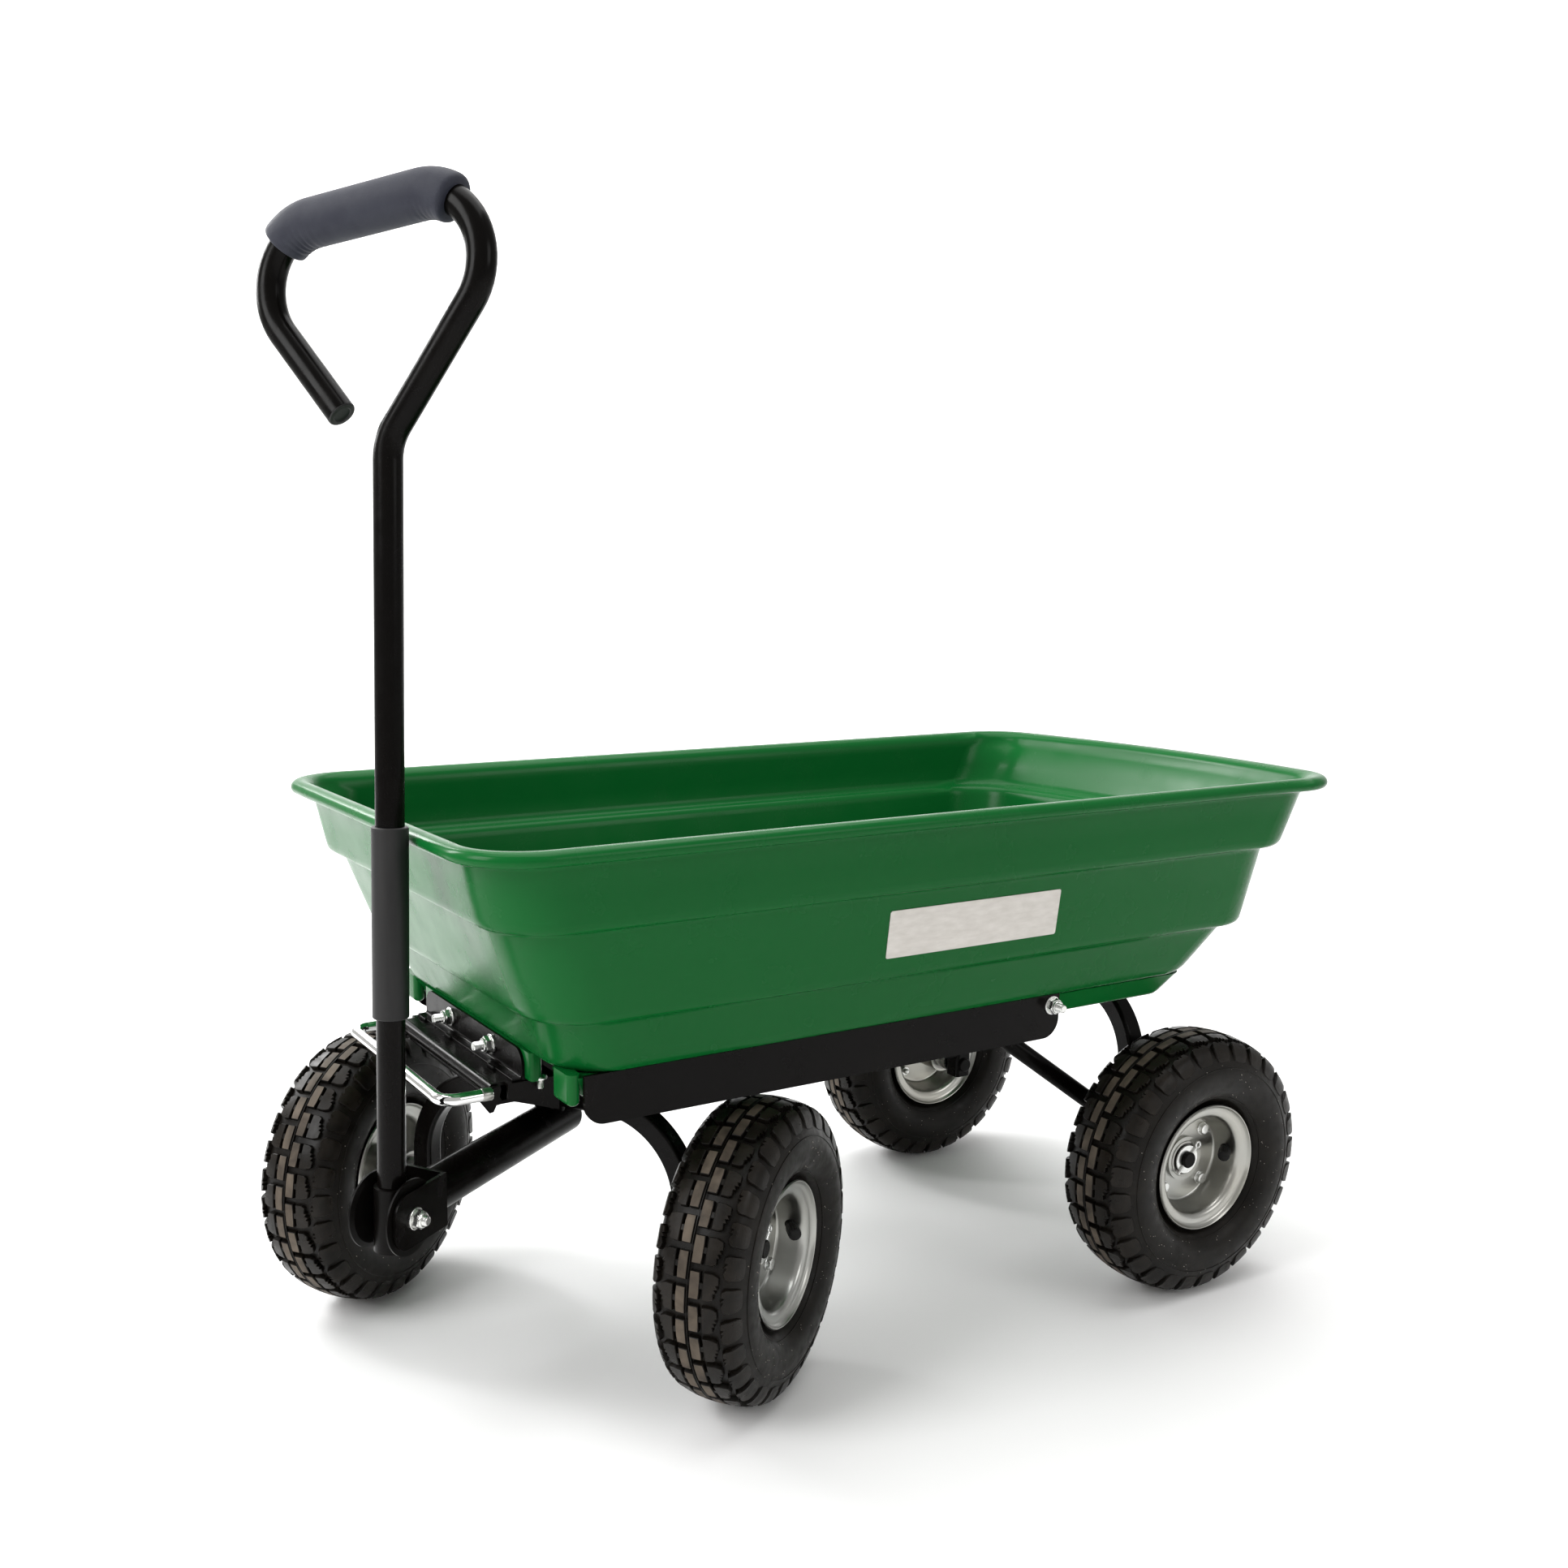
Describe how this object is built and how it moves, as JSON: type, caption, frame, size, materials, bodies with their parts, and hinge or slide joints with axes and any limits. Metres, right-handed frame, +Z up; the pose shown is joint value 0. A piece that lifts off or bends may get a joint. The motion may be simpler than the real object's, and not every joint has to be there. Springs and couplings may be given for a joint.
{
  "type": "garden dump cart",
  "caption": "Four-wheeled garden dump cart with a stepped plastic tipping tray, steel chassis, steered front axle, pneumatic tyres, tray latch bail and D-loop pull handle.",
  "frame": {"origin": "on the ground, under the middle of the object's overall box", "axes": "+X towards the end that the tray tips to, -X towards the handle, +Y to the cart's right side, +Z up"},
  "size_m": [1.0019, 0.5278, 0.9711],
  "materials": {
    "tyre": "moulded rubber, dusty on the blocks",
    "valve_rubber": "matt rubber",
    "zinc_rim": "zinc plated pressed steel with a faint yellow and blue passivation",
    "bearing_steel": "ground steel",
    "zinc_fastener": "bright zinc plate",
    "axle_steel": "black paint over steel",
    "black_paint": "gloss black powder coat",
    "foam": "closed cell foam, matt",
    "sleeve_plastic": "matt moulded plastic",
    "green_plastic": "semi-gloss moulded polyethylene",
    "label": "blank off-white film",
    "bail_chrome": "bright chrome"
  },
  "bodies": {
    "wheel_rear_left": {"tyre_rear_left": "tyre", "inner_tube_rear_left": "valve_rubber", "rim_outer_rear_left": "zinc_rim", "rim_inner_rear_left": "zinc_rim", "hub_rear_left": "zinc_rim", "bearings_rear_left": "bearing_steel", "rim_bolts_rear_left": "zinc_fastener"},
    "wheel_rear_right": {"tyre_rear_right": "tyre", "inner_tube_rear_right": "valve_rubber", "rim_outer_rear_right": "zinc_rim", "rim_inner_rear_right": "zinc_rim", "hub_rear_right": "zinc_rim", "bearings_rear_right": "bearing_steel", "rim_bolts_rear_right": "zinc_fastener"},
    "wheel_front_left": {"tyre_front_left": "tyre", "inner_tube_front_left": "valve_rubber", "rim_outer_front_left": "zinc_rim", "rim_inner_front_left": "zinc_rim", "hub_front_left": "zinc_rim", "bearings_front_left": "bearing_steel", "rim_bolts_front_left": "zinc_fastener"},
    "wheel_front_right": {"tyre_front_right": "tyre", "inner_tube_front_right": "valve_rubber", "rim_outer_front_right": "zinc_rim", "rim_inner_front_right": "zinc_rim", "hub_front_right": "zinc_rim", "bearings_front_right": "bearing_steel", "rim_bolts_front_right": "zinc_fastener"},
    "chassis": {"chassis_beam": "black_paint", "rear_arch": "black_paint", "brace_left": "black_paint", "brace_right": "black_paint", "rear_axle": "axle_steel", "rear_axle_fixings": "zinc_fastener", "kingpin": "zinc_fastener", "hinge_rod": "zinc_fastener", "latch_striker": "black_paint"},
    "steering": {"front_arch": "black_paint", "turn_plate": "black_paint", "tongue": "black_paint", "yoke": "black_paint", "front_axle": "axle_steel", "front_axle_fixings": "zinc_fastener", "pivot_bolt": "zinc_fastener"},
    "handle": {"handle_tube": "black_paint", "foam_grip": "foam", "bumper_sleeve": "sleeve_plastic", "handle_socket": "black_paint", "pivot_discs": "black_paint"},
    "tray": {"tray": "green_plastic", "label_plate": "label", "side_plate_left": "black_paint", "side_plate_right": "black_paint", "side_bolts": "zinc_fastener", "latch_channel": "black_paint", "front_bracket": "black_paint", "front_bolts": "zinc_fastener", "hinge_straps": "black_paint"},
    "latch": {"latch_shaft": "black_paint", "latch_bail": "bail_chrome"}
  },
  "joints": [
    {"name": "steering_turn", "type": "hinge", "parent": "chassis", "child": "steering", "pos_m": [-0.2594, 0, 0.25], "axis": [0, 0, 1], "range_deg": [-66, 0]},
    {"name": "handle_tilt", "type": "hinge", "parent": "steering", "child": "handle", "pos_m": [-0.45397, -0.12636, 0.208], "axis": [0.5446, -0.8387, 0], "range_deg": [0, 100]},
    {"name": "tray_tip", "type": "hinge", "parent": "chassis", "child": "tray", "pos_m": [0.3296, 0, 0.298], "axis": [0, 1, 0], "range_deg": [0, 65]},
    {"name": "latch_lift", "type": "hinge", "parent": "tray", "child": "latch", "pos_m": [-0.357, 0, 0.283], "axis": [0, 1, 0], "range_deg": [0, 60], "stiffness_Nm_per_rad": 0.4, "springref_deg": -20.05},
    {"name": "spin_rear_left", "type": "hinge", "parent": "chassis", "child": "wheel_rear_left", "pos_m": [0.3296, -0.2028, 0.129], "axis": [0, 1, 0], "continuous": true},
    {"name": "spin_rear_right", "type": "hinge", "parent": "chassis", "child": "wheel_rear_right", "pos_m": [0.3296, 0.2028, 0.129], "axis": [0, 1, 0], "continuous": true},
    {"name": "spin_front_left", "type": "hinge", "parent": "steering", "child": "wheel_front_left", "pos_m": [-0.14895, -0.17008, 0.129], "axis": [-0.5446, 0.8387, 0], "continuous": true},
    {"name": "spin_front_right", "type": "hinge", "parent": "steering", "child": "wheel_front_right", "pos_m": [-0.36985, 0.17008, 0.129], "axis": [-0.5446, 0.8387, 0], "continuous": true}
  ]
}
